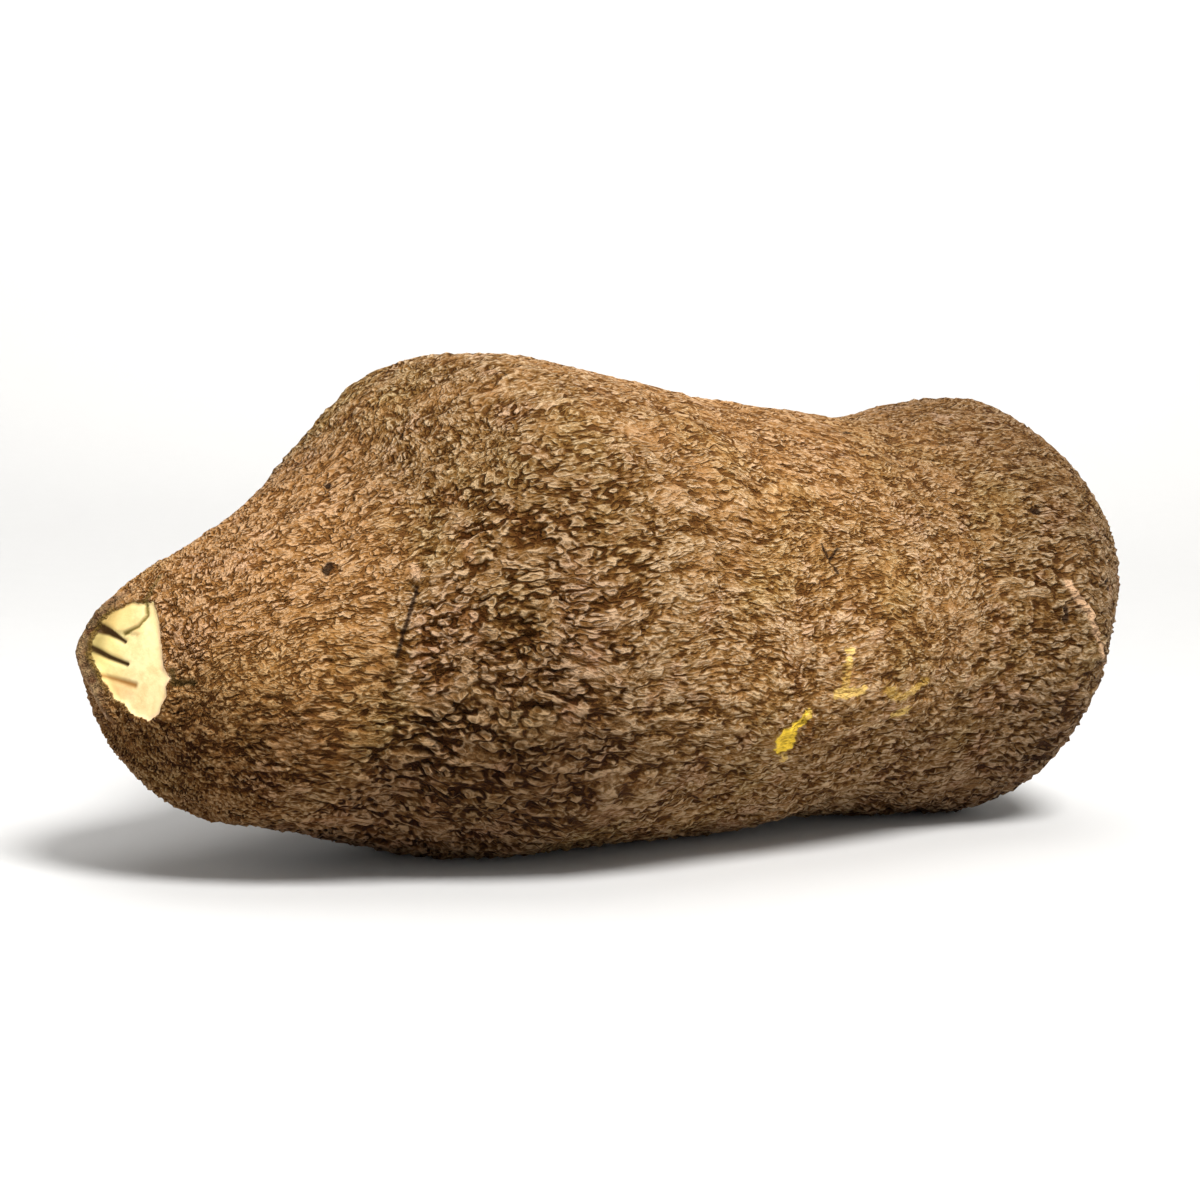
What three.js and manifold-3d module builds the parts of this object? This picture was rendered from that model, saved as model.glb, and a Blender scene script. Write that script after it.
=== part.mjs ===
// Yam tuber, whole, lying on its side: a tapered neck end at -X with a small chip out of
// its tip, a humped shoulder, a shallow saddle on top and a blunt far end at +X.
// Units are millimetres. +X runs from the neck tip to the far end, and +Z is up.
// The origin is on the resting plane, under the middle of the bounding box.

import * as THREE from 'three';
import { mergeVertices } from 'three/addons/utils/BufferGeometryUtils.js';
import Module from 'manifold-3d';

// Driving dimensions
const LENGTH = 282; // neck tip to far end
const TIP_ROUND = 28; // length over which the neck end closes
const FAR_ROUND = 43; // length over which the blunt end closes
const LUMP_HEIGHT = 0.8; // slow unevenness of the surface
const LUMP_WAVELENGTH = 95; // its spacing along the tuber
const AROUND_STEPS = 56; // facets around the tuber
const ALONG_STEPS = 42; // facets from tip to far end

// The body at stations along its length. "top" and "bottom" are heights above the resting
// plane, "halfWidth" is half the width and "side" is the centre line's sideways offset.
// The two ends are rounded off afterwards, and the belly and the far end reach just below
// the resting plane so that the trim leaves a flat patch under each.
const STATIONS = [
  { along: 0, top: 64, bottom: 20, halfWidth: 23, side: 1 },
  { along: 25, top: 68.5, bottom: 12, halfWidth: 30, side: -1 },
  { along: 51, top: 84, bottom: 6, halfWidth: 39.5, side: -1 },
  { along: 79, top: 106.5, bottom: 0, halfWidth: 56, side: 1 },
  { along: 110, top: 105, bottom: -1, halfWidth: 57, side: 0.5 },
  { along: 144, top: 100.3, bottom: 0, halfWidth: 54, side: -1 },
  { along: 178, top: 97, bottom: 2, halfWidth: 51, side: -1 },
  { along: 211, top: 96, bottom: -0.5, halfWidth: 50, side: 2 },
  { along: 245, top: 101.5, bottom: -1, halfWidth: 53.5, side: 5 },
  { along: 282, top: 103, bottom: 20, halfWidth: 43, side: 5 },
];

// The chip: a flat cut across one side of the neck tip that bares the pale flesh.
const CHIP_POINT = new THREE.Vector3(5, -6, 44.5);
const CHIP_NORMAL = new THREE.Vector3(-0.93, -0.3, 0.2);

const RIND_COLOUR = 0x7d6443;
const CUTTER_SIZE = 800; // edge of the blocks that trim the solid

const stations = new THREE.CubicInterpolant(
  STATIONS.map((s) => s.along),
  STATIONS.flatMap((s) => [s.top, s.bottom, s.halfWidth, s.side]),
  4,
);

// Share of the full section left at a distance from an end that closes over "roundLength"
function endRounding(distance, roundLength) {
  const missing = Math.max(0, 1 - distance / roundLength);
  return Math.sqrt(Math.max(0, 1 - missing * missing));
}

function lumpHeight(along, angle) {
  const phase = (2 * Math.PI * along) / LUMP_WAVELENGTH;
  return LUMP_HEIGHT * Math.sin(phase + 3 * angle) * Math.cos(0.6 * phase - 2 * angle);
}

// Maps a unit sphere onto the tuber: the sphere's Y axis becomes the length, and the angle
// around that axis becomes the angle around each section.
function tuberGeometry() {
  const geometry = new THREE.SphereGeometry(1, AROUND_STEPS, ALONG_STEPS);
  const position = geometry.attributes.position;
  for (let i = 0; i < position.count; i += 1) {
    const onSphere = new THREE.Vector3().fromBufferAttribute(position, i);
    const along = (LENGTH * (1 + onSphere.y)) / 2;
    const angle = Math.atan2(onSphere.x, onSphere.z);
    const [top, bottom, halfWidth, side] = stations.evaluate(along);
    const closing = endRounding(along, TIP_ROUND) * endRounding(LENGTH - along, FAR_ROUND);
    const lump = lumpHeight(along, angle);
    const across = side + closing * (halfWidth + lump) * Math.cos(angle);
    const height = (top + bottom) / 2 + closing * ((top - bottom) / 2 + lump) * Math.sin(angle);
    position.setXYZ(i, along, across, height);
  }
  geometry.deleteAttribute('normal');
  geometry.deleteAttribute('uv');
  return mergeVertices(geometry, 1e-4);
}

// A block whose one face lies on the plane and whose body fills the side the normal points to
function cutterBlock(point, normal) {
  const block = new THREE.BoxGeometry(CUTTER_SIZE, CUTTER_SIZE, CUTTER_SIZE);
  block.deleteAttribute('normal');
  block.deleteAttribute('uv');
  block.translate(0, 0, CUTTER_SIZE / 2);
  const turn = new THREE.Quaternion().setFromUnitVectors(
    new THREE.Vector3(0, 0, 1),
    normal.clone().normalize(),
  );
  block.applyQuaternion(turn);
  block.translate(point.x, point.y, point.z);
  return mergeVertices(block, 1e-4);
}

const wasm = await Module();
wasm.setup();

function toSolid(geometry) {
  const mesh = new wasm.Mesh({
    numProp: 3,
    vertProperties: new Float32Array(geometry.attributes.position.array),
    triVerts: new Uint32Array(geometry.index.array),
  });
  return new wasm.Manifold(mesh);
}

function toGeometry(solid) {
  const mesh = solid.getMesh();
  const geometry = new THREE.BufferGeometry();
  geometry.setAttribute('position', new THREE.BufferAttribute(mesh.vertProperties, 3));
  geometry.setIndex(new THREE.BufferAttribute(mesh.triVerts, 1));
  geometry.computeVertexNormals();
  return geometry;
}

// Puts the origin under the middle of the bounding box, on the resting plane
function centreOverOrigin(geometry) {
  geometry.computeBoundingBox();
  const middle = geometry.boundingBox.getCenter(new THREE.Vector3());
  geometry.translate(-middle.x, -middle.y, -geometry.boundingBox.min.z);
}

const belowRestingPlane = cutterBlock(new THREE.Vector3(0, 0, 0), new THREE.Vector3(0, 0, -1));
const chip = cutterBlock(CHIP_POINT, CHIP_NORMAL);
const trimmed = toSolid(tuberGeometry())
  .subtract(toSolid(belowRestingPlane))
  .subtract(toSolid(chip));

const rindGeometry = toGeometry(trimmed);
centreOverOrigin(rindGeometry);

const tuber = new THREE.Mesh(
  rindGeometry,
  new THREE.MeshStandardMaterial({ color: RIND_COLOUR, roughness: 0.92, metalness: 0 }),
);
tuber.name = 'yam_tuber';

const group = new THREE.Group();
group.add(tuber);

export default group;
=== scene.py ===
import math

import bmesh
import bpy
import numpy as np
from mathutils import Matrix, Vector, noise
from mathutils.bvhtree import BVHTree


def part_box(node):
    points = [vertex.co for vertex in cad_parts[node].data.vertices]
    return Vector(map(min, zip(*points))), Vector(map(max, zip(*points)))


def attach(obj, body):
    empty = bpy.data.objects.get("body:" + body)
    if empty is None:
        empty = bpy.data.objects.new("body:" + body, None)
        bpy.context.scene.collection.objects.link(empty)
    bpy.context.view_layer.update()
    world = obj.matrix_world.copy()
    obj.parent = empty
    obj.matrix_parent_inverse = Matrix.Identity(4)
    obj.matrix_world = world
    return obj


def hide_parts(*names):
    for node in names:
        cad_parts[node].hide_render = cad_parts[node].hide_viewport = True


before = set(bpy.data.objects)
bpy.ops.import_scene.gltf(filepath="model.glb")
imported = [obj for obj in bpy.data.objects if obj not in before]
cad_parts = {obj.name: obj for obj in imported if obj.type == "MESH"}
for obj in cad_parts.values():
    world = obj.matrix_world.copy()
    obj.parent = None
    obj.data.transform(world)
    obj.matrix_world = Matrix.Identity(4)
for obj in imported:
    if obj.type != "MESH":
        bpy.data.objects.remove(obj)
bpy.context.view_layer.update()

CAD_NODE = "yam_tuber"
LOW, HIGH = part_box(CAD_NODE)
MM = 0.001

# Mesh density, and how often the CAD's facets are averaged away round and along the tuber
AROUND = 420
TIP_RINGS = 56
BODY_RINGS = 122
FAR_RINGS = 42
SMOOTH_AROUND = 30
SMOOTH_ALONG = 16

# The spine that the skin is cast from, measured in from the two ends, and the two poles
# where its rings close
TIP_INSET = 27
FAR_INSET = 45
SPINE_START = Vector((LOW.x + TIP_INSET * MM, 0, 43 * MM))
SPINE_END = Vector((HIGH.x - FAR_INSET * MM, 4 * MM, 55 * MM))
TIP_POLE = Vector((-0.80, 0.40, -0.45)).normalized()
FAR_POLE = Vector((1, 0, 0))

# Low swellings all over, then on the far end: size and height in millimetres
SWELLINGS = ((38.0, 1.3), (17.0, 0.75), (8.0, 0.3))
END_SWELLING_SIZE = 24
END_SWELLING_HEIGHT = 2.4

# Most places of the chip's lines and of the marks below were picked in the photo and
# projected onto the CAD by a scratch program, which rounded them to 0.1 mm.

# The chip at the neck's tip: a frame on its surface, in millimetres. Its lines are given as
# right and up on that frame. Its face is crowned: the bulge is its height in the middle, and
# the curve is how fast it falls off upwards and downwards.
CHIP_CENTRE = np.array((-136.6, -6.0, 44.6))
CHIP_NORMAL = np.array((-0.932, -0.301, 0.200))
CHIP_RIGHT = np.array((0.307, -0.952, 0.0))
CHIP_UP = np.array((0.191, 0.062, 0.980))
CHIP_BULGE = 1.2
CHIP_CURVE = 0.0104
CHIP_REACH = 15.5
CHIP_THICKNESS = 7
FLESH_OUTLINE = [
    (-5.0, 10.2), (-8.0, 8.6), (-9.8, 5.2), (-9.6, 0.7), (-8.6, -1.6), (-6.6, -4.2),
    (-5.0, -5.9), (-2.6, -8.3), (-0.8, -8.4), (2.2, -10.6), (4.2, -10.5),
    (5.6, -11.2), (8.2, -9.6), (8.6, -7.8), (9.8, -6.0), (9.4, -4.2),
    (9.9, -2.4), (8.2, -0.6), (7.3, 1.6), (5.8, 5.2), (5.2, 6.8),
    (3.7, 9.2), (1.8, 11.6), (-1.5, 11.0), (-3.2, 11.2),
]
# Cuts across the flesh: points, half width at the left and right end, depth, softness, colour
SLITS = [
    ([(-11.5, 5.6), (-7.4, 4.9), (-3.0, 3.3)], (1.15, 0.4), 0.8, 0.35, (74, 50, 20)),
    ([(-11.4, 1.4), (-6.3, 0.0), (-1.4, -0.9)], (0.65, 0.45), 0.8, 0.35, (74, 52, 20)),
    ([(-7.4, -3.7), (1.3, -4.7)], (0.35, 0.6), 0.3, 0.6, (164, 116, 58)),
    ([(-0.2, 11.6), (0.9, 8.9), (-0.3, 6.6), (-3.4, 4.9)], (0.45, 0.35), 0.6, 0.4, (116, 100, 44)),
]
# A faint crease in the rind above the flesh, and a hollow in the rind to its right
FLAP_LINE = [(-1.3, 17.0), (-0.2, 11.6)]
CHIP_HOLLOW = [(9.8, -1.0), (10.6, -3.2), (14.0, -2.6)]

# Marks on the rind, as lines in millimetres: points, half width, height (minus is cut in)
CRACKS = [
    ([(-93.2, -37.2, 61.4), (-96.0, -37.8, 54.5), (-98.1, -38.1, 48.3)], 0.45, -1.1),
    ([(4.5, -50.6, 70.4), (6.0, -51.6, 67.6), (7.1, -52.8, 64.6)], 0.4, -0.7),
    ([(8.9, -50.8, 69.6), (6.0, -51.6, 67.2)], 0.35, -0.6),
    ([(87.1, -49.9, 54.6), (87.4, -50.1, 52.4)], 0.9, -1.3),
]
PITS = [
    ([(-106.9, -25.5, 63.6), (-105.9, -25.3, 64.4)], 0.9, -0.9),
    ([(-96.3, -9.8, 78.9), (-96.2, -9.9, 79.0)], 0.7, -0.7),
    ([(38.3, -22.4, 93.5), (39.2, -22.0, 93.6)], 1.0, -1.1),
    ([(104.0, -43.0, 60.0), (104.5, -43.5, 58.5)], 0.8, -0.8),
    ([(85.0, -40.0, 77.5), (86.0, -40.5, 77.0)], 0.8, -0.7),
]
SCARS = [
    ([(87.6, -49.0, 60.2), (90.8, -49.6, 57.2), (93.8, -50.0, 54.5)], 1.1, 0.9),
    ([(94.8, -50.0, 53.2), (99.2, -49.4, 47.9)], 1.1, 0.8),
    ([(100.8, -49.0, 45.8), (103.1, -48.0, 42.6)], 0.9, 0.5),
    ([(-93.3, -35.8, 64.9), (-92.9, -35.6, 63.0)], 0.9, 0.7),
]
# The blunt end's growth scar, which is a guess, and the place in the noise that its swellings
# come from
END_SCAR = np.array((140.0, 8.0, 60.0))
END_SCAR_DEPTH = 1.8
END_SEED = Vector((4.0, 2.0, 7.0))
# Rubbed patches in the order they are painted: colour, strength, lines with half widths
SMEARS = [
    ((122, 90, 20), 0.45, [
        ([(-4.2, -51.2, 29.6), (-2.9, -50.3, 27.2)], 3.5),
        ([(-3.7, -52.0, 30.4), (-0.1, -53.4, 33.7)], 2.0),
    ]),
    ((132, 80, 20), 0.75, [([(2.1, -52.8, 32.5), (2.0, -51.7, 30.3)], 0.9)]),
    ((248, 206, 64), 1.0, [
        ([(-4.0, -51.2, 28.9), (-3.0, -50.4, 27.4)], 2.8),
        ([(-3.7, -52.0, 30.4), (-0.1, -53.4, 33.7)], 1.4),
    ]),
    ((206, 166, 66), 0.42, [
        ([(8.4, -55.8, 44.8), (9.1, -55.1, 40.6)], 1.3),
        ([(23.6, -53.6, 38.8), (29.8, -51.9, 36.2)], 1.1),
        ([(31.5, -52.0, 37.0), (37.8, -52.0, 40.1)], 1.1),
    ]),
    ((240, 200, 110), 0.7, [
        ([(-0.1, -53.3, 33.7), (0.6, -53.6, 34.4)], 0.8),
        ([(8.2, -55.9, 48.0), (9.2, -55.9, 48.0)], 0.9),
        ([(8.1, -55.9, 46.2), (8.6, -55.9, 46.1)], 0.8),
        ([(7.3, -54.7, 38.4), (15.2, -54.3, 38.9)], 1.1),
        ([(29.8, -50.2, 32.1), (34.4, -50.1, 33.2)], 0.9),
        ([(-1.4, -48.4, 24.4), (-0.2, -47.3, 22.9)], 0.5),
    ]),
]

# Along the tuber in millimetres from its middle: how coarse the rind is, and how light
COARSENESS = [
    (-141, 0.10), (-112, 0.18), (-99, 0.34), (-90, 1.0), (-66, 1.0), (-46, 0.66),
    (-30, 0.5), (10, 0.45), (50, 0.5), (80, 0.7), (120, 0.72), (141, 0.6),
]
LIGHTNESS = [
    (-141, 0.88), (-104, 0.84), (-90, 0.66), (-66, 0.60), (-36, 0.74), (-5, 0.84),
    (25, 0.80), (50, 0.68), (75, 0.56), (98, 0.46), (141, 0.42),
]
LIGHTNESS_SEED = Vector((5, 1, 3))
# The downward side's painted shade: how far under it must face to darken, and how much it darkens
UNDERSIDE_SHADE_START = [(-141, -0.4), (-60, -0.3), (0, 0.15), (141, 0.15)]
UNDERSIDE_SHADE_MOST = [(-141, 0.9), (-60, 0.75), (-25, 0.42), (10, 0.5), (141, 0.8)]

# The relief pattern: sizes of its braids on the neck and on the shoulder, the height that
# counts as level, and how tall it stands on each, in millimetres
FINE_BRAIDS = 0.54
COARSE_BRAIDS = 0.84
LEVEL = 0.45
FINE_RELIEF = 0.7
COARSE_RELIEF = 1.5
# The longest stretch of a painted mark, in millimetres. Cycles can't hold many stretches.
MARK_STRETCH = 9

# The studio, in metres: a flat round floor, the bend at its edge and the wall above it
FLOOR_RADIUS = 1.7
FLOOR_BEND = 1.3
WALL_HEIGHT = 3.2
FLOOR_TURNS = 96
BEND_STEPS = 12
LIGHT_TARGET = (0, 0, 0.05)
# The camera and what it aims at, from the middle of the CAD box, with its lean in degrees
CAMERA_PLACE = Vector((-0.4024, -0.4488, 0.0539))
CAMERA_AIM = Vector((-0.0079, 0.0073, -0.0011))
CAMERA_LENS = 79.8
CAMERA_LEAN = 3.1


def colour(red, green, blue):
    """Linear RGBA from everyday 0 to 255 screen values."""
    linear = [((c / 255 + 0.055) / 1.055) ** 2.4 for c in (red, green, blue)]
    return (*linear, 1.0)


# ---------------------------------------------------------------- small maths helpers

def smooth_step(low, high, value):
    """0 at low and 1 at high, with soft ends. Low may be the larger of the two."""
    share = np.clip((value - low) / (high - low), 0, 1)
    return share * share * (3 - 2 * share)


def line_distance(points, line):
    """Distance from each point to a line of joined stretches, in any number of dimensions."""
    nearest = np.full(len(points), 1e9)
    for start, end in zip(line[:-1], line[1:]):
        start, end = np.array(start, float), np.array(end, float)
        along = end - start
        share = np.clip((points - start) @ along / (along @ along), 0, 1)
        foot = start + share[:, None] * along
        nearest = np.minimum(nearest, np.linalg.norm(points - foot, axis=1))
    return nearest


def along_table(table, along):
    """The value at each place along the tuber, from pairs of place and value."""
    places, values = zip(*table)
    return np.interp(along, places, values)


def slow_noise(points, size, seed=Vector((0, 0, 0))):
    """Smooth noise at each point, in features about this size in millimetres."""
    return np.array([noise.noise(Vector(p) / size + seed) for p in points])


def outline_distance(points, outline):
    """Signed distance to a closed outline in the plane, above zero inside it."""
    closed = outline + outline[:1]
    inside = np.zeros(len(points), bool)
    for (ax, ay), (bx, by) in zip(closed[:-1], closed[1:]):
        crosses = (ay > points[:, 1]) != (by > points[:, 1])
        at = (bx - ax) * (points[:, 1] - ay) / ((by - ay) or 1e-9) + ax
        inside ^= crosses & (points[:, 0] < at)
    distance = line_distance(points, closed)
    return np.where(inside, distance, -distance)


# ---------------------------------------------------------------- the tuber's mesh

def cast_skin():
    """Rings of points on the CAD solid, cast outwards from the spine, with facets smoothed out."""
    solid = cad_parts[CAD_NODE].data
    tree = BVHTree.FromPolygons(
        [v.co for v in solid.vertices], [tuple(p.vertices) for p in solid.polygons]
    )
    angles = np.arange(AROUND) * 2 * math.pi / AROUND - math.pi / 2
    spokes = [Vector((0, math.cos(a), math.sin(a))) for a in angles]
    rays = []
    for ring in range(1, TIP_RINGS):
        share = ring / TIP_RINGS
        rays.append([(SPINE_START, TIP_POLE.slerp(s, share)) for s in spokes])
    for ring in range(BODY_RINGS + 1):
        origin = SPINE_START.lerp(SPINE_END, ring / BODY_RINGS)
        rays.append([(origin, s) for s in spokes])
    for ring in range(1, FAR_RINGS):
        share = ring / FAR_RINGS
        rays.append([(SPINE_END, s.slerp(FAR_POLE, share)) for s in spokes])
    radius = np.array([[tree.ray_cast(o, d)[3] for o, d in ring] for ring in rays])
    origin = np.array([[tuple(o) for o, d in ring] for ring in rays])
    outward = np.array([[tuple(d) for o, d in ring] for ring in rays])
    for _ in range(SMOOTH_AROUND):
        radius = (np.roll(radius, 1, 1) + 2 * radius + np.roll(radius, -1, 1)) / 4
    for _ in range(SMOOTH_ALONG):
        padded = np.concatenate([radius[:1], radius, radius[-1:]])
        radius = (padded[:-2] + 2 * radius + padded[2:]) / 4
    rings = origin + outward * radius[..., None]
    tip = np.array(SPINE_START) + np.array(TIP_POLE) * radius[0].mean()
    far = np.array(SPINE_END) + np.array(FAR_POLE) * radius[-1].mean()
    return rings, tip, far


def skin_mesh():
    """One closed mesh from the rings, with a square UV map for baking."""
    rings, tip, far = cast_skin()
    count = len(rings)
    points = np.concatenate([rings.reshape(-1, 3), [tip, far]])
    tip_index, far_index = count * AROUND, count * AROUND + 1
    faces, uvs = [], []
    travel = np.linalg.norm(np.diff(rings, axis=0), axis=2).mean(1)
    end_travel = np.linalg.norm(rings[[0, -1]] - np.array([[tip], [far]]), axis=2).mean(1)
    height = np.concatenate([[end_travel[0]], travel, [end_travel[1]]]).cumsum()
    height = np.concatenate([[0.0], height]) / height[-1]
    for i in range(AROUND):
        j = (i + 1) % AROUND
        left, right = i / AROUND, (i + 1) / AROUND
        faces.append((tip_index, j, i))
        uvs += [((left + right) / 2, 0), (right, height[1]), (left, height[1])]
        for ring in range(count - 1):
            low, high = ring * AROUND, (ring + 1) * AROUND
            faces.append((low + i, low + j, high + j, high + i))
            below, above = height[ring + 1], height[ring + 2]
            uvs += [(left, below), (right, below), (right, above), (left, above)]
        last = (count - 1) * AROUND
        faces.append((last + i, last + j, far_index))
        uvs += [(left, height[count]), (right, height[count]), ((left + right) / 2, 1)]
    mesh = bpy.data.meshes.new("yam_tuber_skin")
    mesh.from_pydata(points.tolist(), [], faces)
    layer = mesh.uv_layers.new(name="OFBake")
    layer.data.foreach_set("uv", np.array(uvs, np.float32).ravel())
    mesh.update()
    return mesh


def points_of(mesh):
    """The mesh's points in millimetres."""
    flat = np.zeros(len(mesh.vertices) * 3, np.float32)
    mesh.vertices.foreach_get("co", flat)
    return flat.reshape(-1, 3).astype(float) / MM


def set_points(mesh, points):
    """Moves the mesh's points to places in millimetres."""
    mesh.vertices.foreach_set("co", (points * MM).astype(np.float32).ravel())
    mesh.update()


def normals_of(mesh):
    """The way each of the mesh's points faces."""
    flat = np.zeros(len(mesh.vertices) * 3, np.float32)
    mesh.vertex_normals.foreach_get("vector", flat)
    return flat.reshape(-1, 3).astype(float)


def chip_place(points):
    """Places on the chip's own frame: right, up, and height off its plane, in millimetres."""
    offset = points - CHIP_CENTRE
    return np.stack([offset @ CHIP_RIGHT, offset @ CHIP_UP, offset @ CHIP_NORMAL], axis=1)


def refine_chip(mesh):
    """Splits the faces round the chip, so that its slits and edge are real shapes."""
    place = chip_place(points_of(mesh))
    near = np.abs(place[:, 2]) < CHIP_THICKNESS
    near &= np.hypot(place[:, 0], place[:, 1]) < CHIP_REACH
    work = bmesh.new()
    work.from_mesh(mesh)
    work.verts.ensure_lookup_table()
    edges = [e for e in work.edges if near[e.verts[0].index] and near[e.verts[1].index]]
    bmesh.ops.subdivide_edges(work, edges=edges, cuts=1, use_grid_fill=True)
    work.normal_update()
    work.to_mesh(mesh)
    work.free()
    mesh.update()


def slow_lumps(points, normals):
    """The tuber's uneven growth: low swellings, more at the far end, and its blunt end scar."""
    lift = np.zeros(len(points))
    for size, height in SWELLINGS:
        lift += height * slow_noise(points, size)
    at_end = smooth_step(98, 130, points[:, 0])
    lift += END_SWELLING_HEIGHT * at_end * slow_noise(points, END_SWELLING_SIZE, END_SEED)
    lift -= END_SCAR_DEPTH * np.exp(-(np.linalg.norm(points - END_SCAR, axis=1) / 6) ** 2)
    return points + normals * lift[:, None]


def chip_lift(place, edge, left):
    """Height to add along the chip's normal: its crowned face and rim, less its cuts."""
    across = place[:, :2]
    crown = CHIP_BULGE - CHIP_CURVE * place[:, 1] ** 2
    rim = 0.6 * np.exp(-((edge + 0.9) / 0.9) ** 2)
    rim += 2.6 * left * np.exp(-((edge + 2.8) / 1.8) ** 2)
    lift = (crown - place[:, 2]) * smooth_step(-1.6, 0.2, edge) + rim
    lift -= 0.35 * smooth_step(-0.3, 0.4, edge)
    for line, widths, depth, _, _ in SLITS:
        half = np.interp(across[:, 0], sorted((line[0][0], line[-1][0])), widths)
        slit = line_distance(across, line) - half
        lift -= depth * (1 - smooth_step(-0.7, 0.45, slit)) * smooth_step(-3.0, 0.0, edge)
    lobe = (across[:, 0] < 0.6) * (across[:, 1] > 5.2)
    lift += 0.35 * lobe * smooth_step(0.2, 1.0, edge)
    hollow = line_distance(across, CHIP_HOLLOW) - 0.6
    return lift - 1.1 * (1 - smooth_step(-0.9, 0.6, hollow))


def shape_chip(points):
    """Brings the skin to the chip's face. Also returns how far each point is inside the
    flesh's outline, and how much of the rind is left on it."""
    place = chip_place(points)
    across, flat = place[:, :2], np.abs(place[:, 2]) < 9
    edge = np.where(flat, outline_distance(across, FLESH_OUTLINE), -20.0)
    left = smooth_step(-4.0, -9.0, across[:, 0] + 0.3 * across[:, 1])
    lift = chip_lift(place, edge, left)
    swell = 1.8 * smooth_step(-6.5, -12.0, across[:, 0]) * smooth_step(-12.0, -5.0, place[:, 2])
    swell *= np.exp(-(across[:, 1] / 4.6) ** 2)
    moved = points + CHIP_NORMAL * (lift * flat)[:, None] - CHIP_RIGHT * swell[:, None]
    torn = np.maximum(smooth_step(-1.6, -0.3, edge), 0.7 * left * smooth_step(-5.4, -4.0, edge))
    return moved, edge, 1 - torn


def laid_on(tree, line):
    """A line of points brought onto the skin, about 1 mm apart, in millimetres."""
    laid = []
    for start, end in zip(line[:-1], line[1:]):
        start, end = Vector(start) * MM, Vector(end) * MM
        steps = max(1, round((end - start).length / MM))
        laid += [tree.find_nearest(start.lerp(end, step / steps))[0] for step in range(steps)]
    laid.append(tree.find_nearest(Vector(line[-1]) * MM)[0])
    return [tuple(point / MM) for point in laid]


def few(line):
    """Only a few of a line's points about 1 mm apart, with both its ends."""
    last = len(line) - 1
    count = 1 + math.ceil(last / MARK_STRETCH)
    stops = sorted({round(last * step / (count - 1)) for step in range(count)})
    return [line[stop] for stop in stops]


def shape_marks(points, tree):
    """Height of the cracks, pits and scars at each point, in millimetres."""
    lift = np.zeros(len(points))
    for line, half_width, height in CRACKS + PITS + SCARS:
        distance = line_distance(points, laid_on(tree, line)) - half_width
        lift += height * (1 - smooth_step(-half_width, 0.9, distance))
    return lift


def store(mesh, name, values):
    """Keeps a number or a vector on each of the mesh's points, for the nodes to read."""
    kind = "FLOAT_VECTOR" if values.ndim == 2 else "FLOAT"
    field = "vector" if values.ndim == 2 else "value"
    attribute = mesh.attributes.new(name, kind, "POINT")
    attribute.data.foreach_set(field, values.astype(np.float32).ravel())


def roughness_of_growth(points):
    """How coarse the rind is along the tuber: fine neck, coarse shoulder, medium body."""
    along = points[:, 0] + 4 * slow_noise(points, 21) - 0.25 * (points[:, 2] - 55)
    coarse = along_table(COARSENESS, along) * (1 - 0.45 * smooth_step(64, 98, points[:, 2]))
    return coarse + 0.4 * (1 - coarse) * smooth_step(48, 18, points[:, 2])


def tone_and_top_light_of_growth(points):
    """How light the rind is along the tuber: darker on the shoulder and at the far end, and
    lighter on the hump's top as painted light.
    """
    along = points[:, 0] + 8 * slow_noise(points, 26, LIGHTNESS_SEED)
    scar = np.exp(-(np.linalg.norm(points - END_SCAR, axis=1) / 8) ** 2)
    # Painted light: the top of the hump made lighter
    painted_top_light = smooth_step(78, 100, points[:, 2]) * smooth_step(-20, -60, points[:, 0])
    return along_table(LIGHTNESS, along) * (1 - 0.3 * scar) * (1 + 0.12 * painted_top_light)


def underside_shade_of_growth(points, under):
    """Painted shade on the downward side: how much darker it is, most under the neck and the
    shoulder.
    """
    start = along_table(UNDERSIDE_SHADE_START, points[:, 0])
    return along_table(UNDERSIDE_SHADE_MOST, points[:, 0]) * smooth_step(0, 0.95, under - start)


# ---------------------------------------------------------------- node helpers

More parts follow.
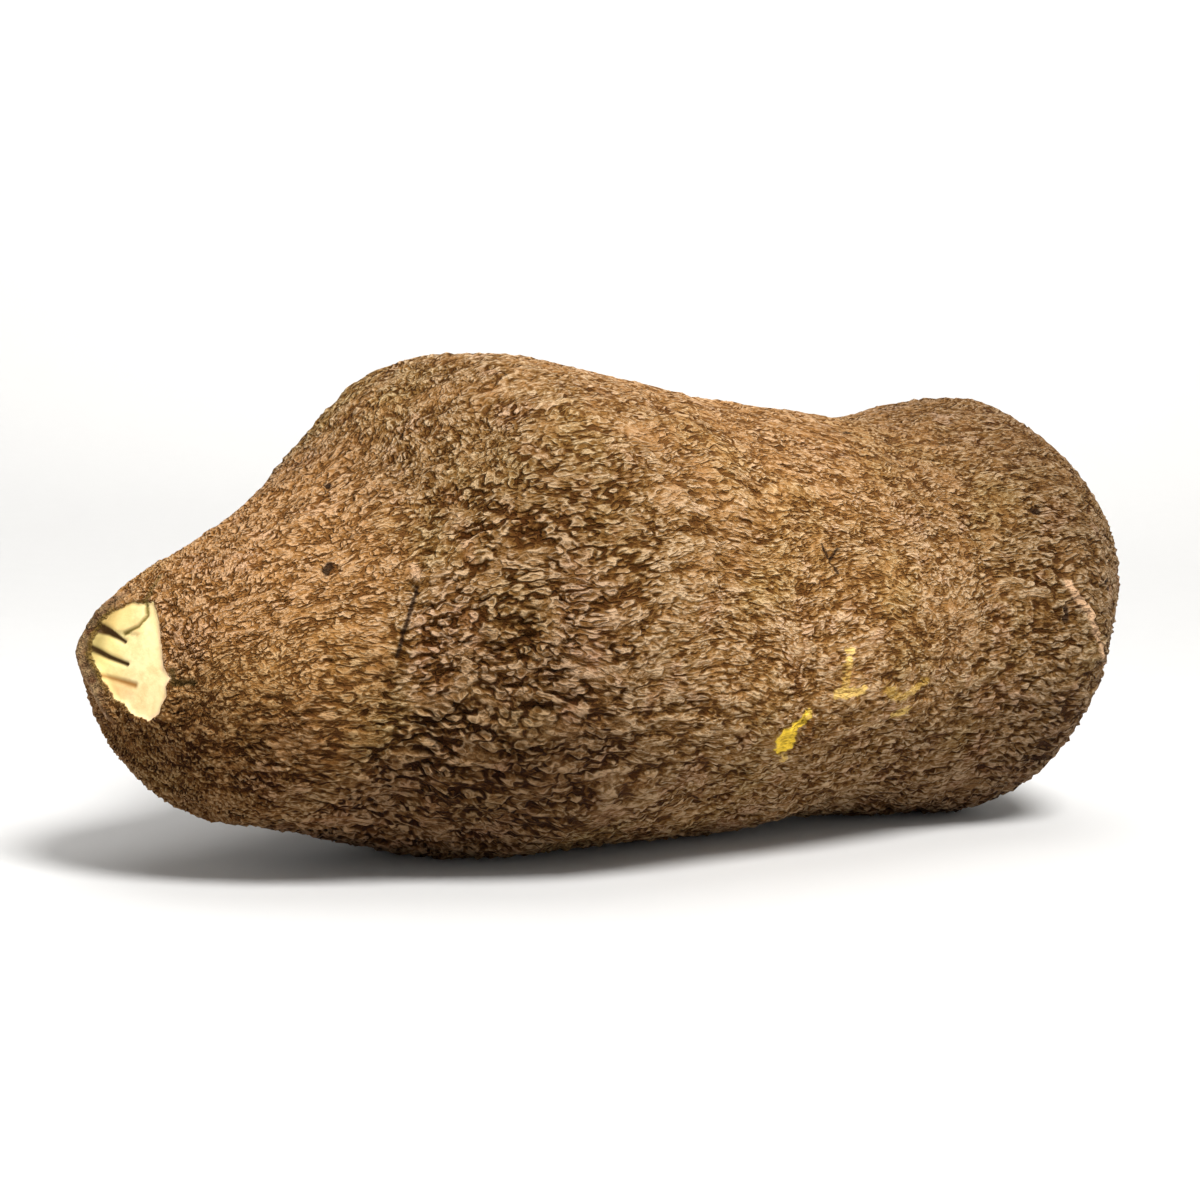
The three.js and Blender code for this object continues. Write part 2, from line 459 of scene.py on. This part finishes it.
class Net:
    """Adds and links nodes in one tree. Shader and geometry trees share these calls."""

    def __init__(self, tree):
        self.tree = tree

    def add(self, kind, inputs=(), **settings):
        node = self.tree.nodes.new(kind)
        for name, value in settings.items():
            setattr(node, name, value)
        for key, value in dict(inputs).items():
            self.feed(node.inputs[key], value)
        return node

    def feed(self, socket, value):
        if isinstance(value, bpy.types.NodeSocket):
            self.tree.links.new(value, socket)
        else:
            socket.default_value = value

    def math(self, operation, *values, clamp=False):
        inputs = dict(enumerate(values))
        return self.add("ShaderNodeMath", inputs, operation=operation, use_clamp=clamp).outputs[0]

    def vector(self, operation, first, second):
        node = self.add("ShaderNodeVectorMath", {0: first, 1: second}, operation=operation)
        return node.outputs[0]

    def noise(self, place, scale, detail=2.0, roughness=0.5, colour=False):
        inputs = {"Vector": place, "Scale": scale, "Detail": detail, "Roughness": roughness}
        node = self.add("ShaderNodeTexNoise", inputs)
        return node.outputs["Color" if colour else "Fac"]

    def ramp(self, value, low, high, start=0.0, end=1.0):
        inputs = {"Value": value, "From Min": low, "From Max": high, "To Min": start, "To Max": end}
        node = self.add("ShaderNodeMapRange", inputs, interpolation_type="SMOOTHSTEP")
        return node.outputs["Result"]

    def mix(self, share, first, second):
        inputs = {0: share, 2: first, 3: second}
        return self.add("ShaderNodeMix", inputs, data_type="FLOAT").outputs[0]

    def mix_colour(self, share, first, second, blend="MIX"):
        inputs = {0: share, 6: first, 7: second}
        settings = {"data_type": "RGBA", "blend_type": blend}
        return self.add("ShaderNodeMix", inputs, **settings).outputs[2]

    def value_of(self, name):
        if self.tree.bl_idname == "GeometryNodeTree":
            node = self.add("GeometryNodeInputNamedAttribute", {"Name": name}, data_type="FLOAT")
            return node.outputs["Attribute"]
        return self.add("ShaderNodeAttribute", attribute_name=name).outputs["Fac"]

    def vector_of(self, name):
        if self.tree.bl_idname == "GeometryNodeTree":
            settings = {"data_type": "FLOAT_VECTOR"}
            node = self.add("GeometryNodeInputNamedAttribute", {"Name": name}, **settings)
            return node.outputs["Attribute"]
        return self.add("ShaderNodeAttribute", attribute_name=name).outputs["Vector"]


def braids(net, place, long_size, short_size, offset):
    """Wavy crevices with a raised lip on each side, longer along the tuber. 0 is level."""
    stretch = (1 / long_size, 1 / short_size, 1 / short_size)
    scaled = net.vector("ADD", net.vector("MULTIPLY", place, stretch), offset)
    wave = net.noise(scaled, 1.0, 1.5, 0.6)
    swing = net.math("ABSOLUTE", net.math("MULTIPLY_ADD", wave, 2.0, -1.0))
    broken = net.ramp(net.noise(scaled, 0.6, 0.0), 0.36, 0.6)
    crevice = net.math("MULTIPLY", net.ramp(swing, 0.19, 0.0), broken)
    lip = net.math("MULTIPLY", net.ramp(swing, 0.08, 0.19), net.ramp(swing, 0.42, 0.22))
    return net.math("MULTIPLY_ADD", crevice, -0.58, net.math("MULTIPLY", lip, 0.34))


def braided(net, place, size):
    """Two crossing sets of braids of one size, with a crumbly surface, round 0.4."""
    first = braids(net, place, 8.2 * size, 2.9 * size, (3.7, 1.3, 8.1))
    second = braids(net, place, 5.5 * size, 2.1 * size, (9.1, 4.4, 6.7))
    scaled = net.vector("MULTIPLY", place, (0.75, 1.0, 1.0))
    crumb = net.noise(scaled, 0.8 / size, 2.0, 0.6)
    height = net.math("MULTIPLY_ADD", second, 0.75, first)
    return net.math("MULTIPLY_ADD", crumb, 0.8, height)


def rind_relief(net):
    """The rind's height, about 0 in the deep crevices and 1 on the crests, and the two
    stored values that it is made from."""
    rest = net.vector_of("rest")
    small = net.vector("SUBTRACT", net.noise(rest, 1 / 10, 0.0, colour=True), (0.5, 0.5, 0.5))
    large = net.vector("SUBTRACT", net.noise(rest, 1 / 30, 0.0, colour=True), (0.5, 0.5, 0.5))
    small = net.vector("MULTIPLY", small, (2.2, 2.2, 2.2))
    large = net.vector("MULTIPLY", large, (7.0, 7.0, 7.0))
    place = net.vector("ADD", rest, net.vector("ADD", small, large))
    coarse = net.value_of("coarse")
    fine_braids = braided(net, place, FINE_BRAIDS)
    height = net.mix(coarse, fine_braids, braided(net, place, COARSE_BRAIDS))
    return height, rest, coarse


# ---------------------------------------------------------------- relief on the mesh

def raise_relief(piece):
    """Lifts the mesh by the rind's pattern, with the same nodes that colour it."""
    tree = bpy.data.node_groups.new("rind_relief", "GeometryNodeTree")
    tree.interface.new_socket("Geometry", in_out="INPUT", socket_type="NodeSocketGeometry")
    tree.interface.new_socket("Geometry", in_out="OUTPUT", socket_type="NodeSocketGeometry")
    net = Net(tree)
    source = net.add("NodeGroupInput")
    result = net.add("NodeGroupOutput")
    height, rest, coarse = rind_relief(net)
    height = net.math("SUBTRACT", height, LEVEL)
    depth = net.mix(coarse, FINE_RELIEF, COARSE_RELIEF)
    depth = net.math("MULTIPLY", depth, net.value_of("rind"))
    offset = net.math("MULTIPLY", net.math("MULTIPLY", height, depth), MM)
    normal = net.add("GeometryNodeInputNormal").outputs[0]
    node = net.add("ShaderNodeVectorMath", {0: normal, "Scale": offset}, operation="SCALE")
    inputs = {"Geometry": source.outputs[0], "Offset": node.outputs[0]}
    moved = net.add("GeometryNodeSetPosition", inputs)
    tree.links.new(moved.outputs[0], result.inputs[0])
    modifier = piece.modifiers.new("relief", "NODES")
    modifier.node_group = tree
    seen = piece.evaluated_get(bpy.context.evaluated_depsgraph_get())
    mesh = bpy.data.meshes.new_from_object(seen)
    piece.modifiers.clear()
    piece.data = mesh
    bpy.data.node_groups.remove(tree)
    points = points_of(mesh)
    points[:, 2] = np.maximum(points[:, 2], 0)
    set_points(mesh, points)


def build_tuber():
    """The tuber's one piece, and the lines of its marks as the material needs them."""
    mesh = skin_mesh()
    refine_chip(mesh)
    rest = points_of(mesh)
    tree = BVHTree.FromPolygons(
        [v.co for v in mesh.vertices], [tuple(p.vertices) for p in mesh.polygons]
    )
    points = slow_lumps(rest, normals_of(mesh))
    points[:, 2] = np.maximum(points[:, 2], 0)
    set_points(mesh, points)
    store(mesh, "rest", rest)
    store(mesh, "coarse", roughness_of_growth(rest))
    store(mesh, "tone", tone_and_top_light_of_growth(rest))
    # Painted shade on the downward side, kept for the material
    store(mesh, "underside_shade", underside_shade_of_growth(rest, -normals_of(mesh)[:, 2]))
    lift = shape_marks(rest, tree)
    points = points + normals_of(mesh) * lift[:, None]
    points, edge, rind = shape_chip(points)
    set_points(mesh, points)
    store(mesh, "flesh_edge", edge)
    store(mesh, "rind", rind)
    store(mesh, "chip_place", chip_place(points))
    piece = bpy.data.objects.new("yam_tuber_skin", mesh)
    bpy.context.scene.collection.objects.link(piece)
    raise_relief(piece)
    piece.data.name = "yam_tuber_skin"
    piece.data.shade_smooth()
    marks = {
        "cuts": [(few(laid_on(tree, line)), width) for line, width, height in CRACKS + PITS],
        "scars": [(few(laid_on(tree, line)), width) for line, width, height in SCARS],
        "smears": [
            (paint, strength, [(few(laid_on(tree, line)), width) for line, width in lines])
            for paint, strength, lines in SMEARS
        ],
    }
    return piece, marks


# ---------------------------------------------------------------- materials

def line_reach(net, place, line):
    """Distance from the surface point to a line of joined stretches, in millimetres."""
    nearest = None
    for start, end in zip(line[:-1], line[1:]):
        start, end = Vector(start), Vector(end)
        along = end - start
        offset = net.vector("SUBTRACT", place, start)
        dot = net.add("ShaderNodeVectorMath", {0: offset, 1: along}, operation="DOT_PRODUCT")
        share = net.math("DIVIDE", dot.outputs["Value"], along.length_squared, clamp=True)
        inputs = {0: along, "Scale": share}
        foot = net.add("ShaderNodeVectorMath", inputs, operation="SCALE").outputs[0]
        gap = net.vector("SUBTRACT", offset, foot)
        reach = net.add("ShaderNodeVectorMath", {0: gap}, operation="LENGTH").outputs["Value"]
        nearest = reach if nearest is None else net.math("MINIMUM", nearest, reach)
    return nearest


def marked(net, place, marks, wobble, soft=0.3):
    """1 on the marks and 0 off them, with a ragged edge."""
    mask = None
    for line, half_width in marks:
        reach = net.math("ADD", line_reach(net, place, line), wobble)
        spot = net.ramp(reach, half_width + soft, half_width - soft)
        mask = spot if mask is None else net.math("MAXIMUM", mask, spot)
    return mask


def chip_cut(net, flat, right, line, widths, soft):
    """1 in a cut across the bared flesh, wider at one end."""
    (start, _), (end, _) = line[0], line[-1]
    half = net.ramp(right, min(start, end), max(start, end), *widths)
    reach = line_reach(net, flat, [(x, y, 0) for x, y in line])
    return net.ramp(net.math("SUBTRACT", reach, half), soft, -soft)


def rind_colour(net, height, rest, coarse):
    """Dry corky rind: dark crevices and tan crests, which are partly its own colour and partly
    painted shade in the crevices and painted highlight on the crests; warmer neck and underside.
    """
    slow = net.noise(rest, 1 / 30, 2.0)
    patch = net.noise(rest, 1 / 9, 2.0, 0.6)
    grain = net.noise(rest, 1.3, 2.0, 0.65)
    # Colour from the relief's height: the dark in the crevices is partly painted shade, the light on
    # the crests partly painted highlight
    depth = net.math("MULTIPLY", net.math("SUBTRACT", height, LEVEL), net.mix(coarse, 1.6, 1.08))
    tone = net.math("MULTIPLY_ADD", net.math("SUBTRACT", grain, 0.5), 0.35, depth)
    tone = net.math("ADD", tone, net.math("MULTIPLY_ADD", slow, 0.3, 0.3))
    shade = net.mix_colour(net.ramp(tone, -0.15, 0.3), colour(84, 48, 4), colour(136, 96, 45))
    shade = net.mix_colour(net.ramp(tone, 0.25, 0.55), shade, colour(168, 132, 88))
    shade = net.mix_colour(net.ramp(tone, 0.55, 0.95), shade, colour(216, 184, 144))
    olive = net.math("MULTIPLY", net.ramp(slow, 0.5, 0.32), 0.5)
    shade = net.mix_colour(olive, shade, (0.92, 0.98, 0.72, 1), "MULTIPLY")
    mauve = net.math("MULTIPLY", net.ramp(patch, 0.5, 0.68), 0.6)
    shade = net.mix_colour(mauve, shade, (0.96, 0.82, 0.86, 1), "MULTIPLY")
    blend = net.math("MULTIPLY_ADD", net.math("SUBTRACT", patch, 0.5), 1.4, coarse)
    neck = net.math("MULTIPLY", net.ramp(blend, 0.75, 0.1), net.ramp(tone, 0.0, 0.6, 0.26, 0.5))
    shade = net.mix_colour(neck, shade, colour(180, 122, 66))
    return net.mix_colour(net.ramp(coarse, 0.6, 1.0), shade, (1.0, 0.93, 0.95, 1), "MULTIPLY")


def paint_marks(net, shade, height, rest, marks):
    """Rubbed yellow patches, then dark cracks and pits, then pale scars over the rind."""
    ragged = net.math("MULTIPLY_ADD", net.noise(rest, 0.8, 2.0), 2.4, -1.2)
    for paint, strength, lines in marks["smears"]:
        mask = marked(net, rest, lines, ragged, 0.45)
        crests = net.ramp(height, 0.1, 0.5, 0.55 * strength ** 2, 1.0)
        mask = net.math("MULTIPLY", net.math("MULTIPLY", mask, crests), strength)
        shade = net.mix_colour(mask, shade, colour(*paint))
    tear = net.math("MULTIPLY_ADD", net.noise(rest, 0.9, 2.0), 0.6, -0.3)
    dark = net.math("MULTIPLY", marked(net, rest, marks["cuts"], tear), 0.92)
    shade = net.mix_colour(dark, shade, colour(40, 22, 7))
    pale = marked(net, rest, marks["scars"], net.math("MULTIPLY", tear, 3.6), 0.6)
    pale = net.math("MULTIPLY", pale, net.ramp(height, 0.0, 0.6, 0.35, 0.9))
    return net.mix_colour(pale, shade, colour(198, 160, 124))


def paint_chip_margin(net, shade, edge, place, right, up, above):
    """The rind round the chip: a browned rim, a torn pale lip on the left, its outer band partly a
    painted highlight, and a hollow.
    """
    rim = net.math("MULTIPLY", net.ramp(edge, -1.0, -0.2), net.ramp(right, 4.0, 0.0, 0.0, 0.55))
    shade = net.mix_colour(rim, shade, colour(92, 68, 26))
    below = net.math("MINIMUM", up, 0.0)
    side = net.ramp(net.math("MULTIPLY_ADD", below, 0.3, right), -6.0, -9.0)
    torn = net.math("MULTIPLY", net.ramp(edge, -5.2, -4.0), net.ramp(above, -4.5, -2.0))
    torn = net.math("MULTIPLY", torn, side)
    streak = net.ramp(net.noise(place, 0.35, 2.0), 0.35, 0.65)
    brown = net.mix_colour(streak, colour(84, 54, 34), colour(158, 130, 92))
    # The pale band along the lip's outer edge: torn skin, partly a painted highlight where the lip
    # catches the light
    pale = net.mix_colour(streak, colour(134, 100, 68), colour(196, 160, 124))
    margin = net.mix_colour(net.ramp(edge, -3.7, -2.6), pale, brown)
    margin = net.mix_colour(net.ramp(edge, -1.6, -0.3), margin, colour(122, 96, 44))
    shade = net.mix_colour(net.math("MULTIPLY", torn, 0.85), shade, margin)
    hollow = net.ramp(line_reach(net, place, [(x, y, 0) for x, y in CHIP_HOLLOW]), 1.0, 0.3)
    shade = net.mix_colour(net.math("MULTIPLY", hollow, 0.85), shade, colour(74, 56, 22))
    flap = net.ramp(line_reach(net, place, [(x, y, 0) for x, y in FLAP_LINE]), 0.9, 0.2)
    return net.mix_colour(net.math("MULTIPLY", flap, 0.5), shade, colour(92, 80, 34))


def paint_chip(net, shade, rest):
    """The chip's margin and its bared flesh. Also returns where the flesh is bare."""
    parts = net.add("ShaderNodeSeparateXYZ", {0: net.vector_of("chip_place")}).outputs
    right, up, above = parts
    place = net.add("ShaderNodeCombineXYZ", {0: right, 1: up}).outputs[0]
    ragged_edge = net.math("MULTIPLY_ADD", net.noise(rest, 0.8, 2.0), 1.2, -0.6)
    edge = net.math("ADD", net.value_of("flesh_edge"), ragged_edge)
    shade = paint_chip_margin(net, shade, edge, place, right, up, above)
    bare = net.ramp(edge, -0.15, 0.15)
    flesh = flesh_colour(net, rest, place, right, up)
    pink = net.math("MULTIPLY", net.ramp(edge, 1.3, 0.2), net.ramp(right, 3.0, 5.5))
    flesh = net.mix_colour(net.math("MULTIPLY", pink, 0.6), flesh, colour(238, 194, 158))
    return net.mix_colour(bare, shade, flesh), bare


def make_rind(marks):
    """The one material: the rind, the marks on it, and the flesh bared at the chip."""
    material = bpy.data.materials.new("yam_rind")
    material.use_nodes = True
    material.node_tree.nodes.clear()
    net = Net(material.node_tree)
    height, rest, coarse = rind_relief(net)
    shade = rind_colour(net, height, rest, coarse)
    # The stored tone holds the rind's lightness along the tuber and the painted light on the hump's
    # top
    shade = net.vector("MULTIPLY", shade, net.value_of("tone"))
    # Painted shade: the downward side darkened, a little more in the crevices
    underside_shade = net.math("MULTIPLY", net.value_of("underside_shade"), net.ramp(height, 0.0, 0.9, 1.2, 0.75))
    shade = net.mix_colour(underside_shade, shade, (0.34, 0.255, 0.14, 1), "MULTIPLY")
    shade = paint_marks(net, shade, height, rest, marks)
    shade, bare = paint_chip(net, shade, rest)

    rough = net.mix(bare, 0.92, 0.6)
    fibres = net.noise(rest, 2.2, 2.0, 0.6)
    skin_height = net.math("MULTIPLY", height, net.mix(coarse, 1.15, 1.4))
    skin_height = net.math("MULTIPLY_ADD", fibres, 0.25, skin_height)
    flesh_height = net.math("MULTIPLY", net.noise(rest, 0.6, 3.0), 0.25)
    surface = net.mix(bare, skin_height, flesh_height)
    inputs = {"Strength": 1.0, "Distance": 0.8 * MM, "Height": surface}
    bump = net.add("ShaderNodeBump", inputs)
    inputs = {
        "Base Color": shade,
        "Roughness": rough,
        "Normal": bump.outputs[0],
        "Specular IOR Level": 0.12,
    }
    shader = net.add("ShaderNodeBsdfPrincipled", inputs)
    output = net.add("ShaderNodeOutputMaterial")
    net.tree.links.new(shader.outputs[0], output.inputs["Surface"])
    return material


def flesh_colour(net, rest, place, right, up):
    """Bared cream flesh, with browned slits and an olive edge."""
    mottle = net.noise(rest, 0.35, 3.0, 0.6)
    flesh = net.mix_colour(net.ramp(mottle, 0.35, 0.7), colour(244, 224, 166), colour(234, 206, 146))
    yellow = net.math("MULTIPLY", net.ramp(right, 1.0, -8.0), 0.5)
    flesh = net.mix_colour(yellow, flesh, colour(230, 204, 112))
    left_edge = net.ramp(net.math("MULTIPLY_ADD", up, -0.25, right), -6.5, -10.5)
    olive = net.math("MULTIPLY", left_edge, 0.65)
    flesh = net.mix_colour(olive, flesh, colour(128, 108, 52))
    lobe = net.math("MULTIPLY", net.ramp(up, 4.5, 6.0), net.ramp(right, 1.2, 0.2))
    lobe = net.math("MULTIPLY", lobe, 0.35)
    flesh = net.mix_colour(lobe, flesh, colour(214, 172, 104))
    tint = net.math("MULTIPLY", net.ramp(up, -3.6, -5.6), net.ramp(up, -8.6, -6.6))
    tint = net.math("MULTIPLY", tint, net.ramp(right, 3.0, -1.0))
    flesh = net.mix_colour(net.math("MULTIPLY", tint, 0.4), flesh, colour(232, 164, 104))
    for line, widths, _, soft, stain in SLITS:
        slit = chip_cut(net, place, right, line, widths, soft)
        flesh = net.mix_colour(slit, flesh, colour(*stain))
    return flesh


def make_floor_paint():
    """Matt pale paint, with a faint change of roughness."""
    material = bpy.data.materials.new("studio_floor_paint")
    material.use_nodes = True
    net = Net(material.node_tree)
    shader = material.node_tree.nodes["Principled BSDF"]
    shader.inputs["Base Color"].default_value = (0.58, 0.575, 0.565, 1)
    shader.inputs["Specular IOR Level"].default_value = 0.1
    speck = net.noise(net.add("ShaderNodeTexCoord").outputs["Object"], 60.0, 3.0)
    net.feed(shader.inputs["Roughness"], net.ramp(speck, 0.2, 0.8, 0.8, 0.95))
    return material


# ---------------------------------------------------------------- stage, lights and camera

def build_floor():
    """A round seamless floor that curves up into a wall all the way round."""
    profile = [(radius, 0.0) for radius in (0.0, 0.2, 0.6, 1.1, FLOOR_RADIUS)]
    for step in range(1, BEND_STEPS + 1):
        turn = math.radians(90 * step / BEND_STEPS)
        across, up = FLOOR_BEND * math.sin(turn), FLOOR_BEND * (1 - math.cos(turn))
        profile.append((FLOOR_RADIUS + across, up))
    profile.append((FLOOR_RADIUS + FLOOR_BEND, WALL_HEIGHT))
    points, faces = [(0, 0, 0)], []
    for radius, height in profile[1:]:
        for i in range(FLOOR_TURNS):
            angle = 2 * math.pi * i / FLOOR_TURNS
            points.append((radius * math.cos(angle), radius * math.sin(angle), height))
    for i in range(FLOOR_TURNS):
        j = (i + 1) % FLOOR_TURNS
        faces.append((0, 1 + i, 1 + j))
        for ring in range(len(profile) - 2):
            low, high = 1 + ring * FLOOR_TURNS, 1 + (ring + 1) * FLOOR_TURNS
            faces.append((low + i, high + i, high + j, low + j))
    mesh = bpy.data.meshes.new("studio_floor")
    mesh.from_pydata(points, [], faces)
    mesh.shade_smooth()
    mesh.materials.append(make_floor_paint())
    floor = bpy.data.objects.new("studio_floor", mesh)
    bpy.context.scene.collection.objects.link(floor)


def add_light(name, place, target, size, power):
    """A white round area light that faces its target. Metres and watts."""
    light = bpy.data.lights.new(name, "AREA")
    light.shape = "DISK"
    light.size = size
    light.energy = power
    holder = bpy.data.objects.new(name, light)
    holder.location = place
    holder.rotation_euler = (Vector(target) - Vector(place)).to_track_quat("-Z", "Y").to_euler()
    bpy.context.scene.collection.objects.link(holder)


def build_lights():
    """A soft key light and a top light on the tuber, and four washes that light the floor."""
    add_light("key", (-0.2, -1.0, 1.6), LIGHT_TARGET, 0.7, 52)
    add_light("top", (0.2, 0.4, 1.8), LIGHT_TARGET, 1.6, 16)
    for name, x, y, power in (("far", 1, 1, 44), ("left", -1, 1, 26), ("right", 1, -1, 26)):
        add_light(f"wash_{name}", (x, 1.1 * y, 1.9), (2.4 * x, 2.7 * y, 0.7), 1.2, power)
    add_light("wash_near", (-1.1, -1.2, 1.9), (-2.4, -2.7, 0.7), 1.2, 26)
    world = bpy.data.worlds.new("studio")
    world.use_nodes = True
    background = world.node_tree.nodes["Background"]
    background.inputs["Color"].default_value = (1, 1, 1, 1)
    background.inputs["Strength"].default_value = 0.2
    bpy.context.scene.world = world


def build_camera():
    """The camera at the photograph's angle, leaning as the photograph does."""
    middle = (LOW + HIGH) / 2
    place = middle + CAMERA_PLACE
    aim = middle + CAMERA_AIM
    data = bpy.data.cameras.new("camera")
    data.sensor_width = 36
    data.lens = CAMERA_LENS
    data.dof.use_dof = False
    camera = bpy.data.objects.new("camera", data)
    camera.location = place
    camera.rotation_euler = (aim - place).to_track_quat("-Z", "Y").to_euler()
    camera.rotation_euler.rotate_axis("Z", math.radians(CAMERA_LEAN))
    bpy.context.scene.collection.objects.link(camera)
    bpy.context.scene.camera = camera


# ---------------------------------------------------------------- put together

build_camera()
build_lights()
build_floor()
tuber, marks = build_tuber()
tuber.data.materials.clear()
tuber.data.materials.append(make_rind(marks))
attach(tuber, "root")
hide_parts(CAD_NODE)
bpy.context.scene.view_settings.view_transform = "Standard"
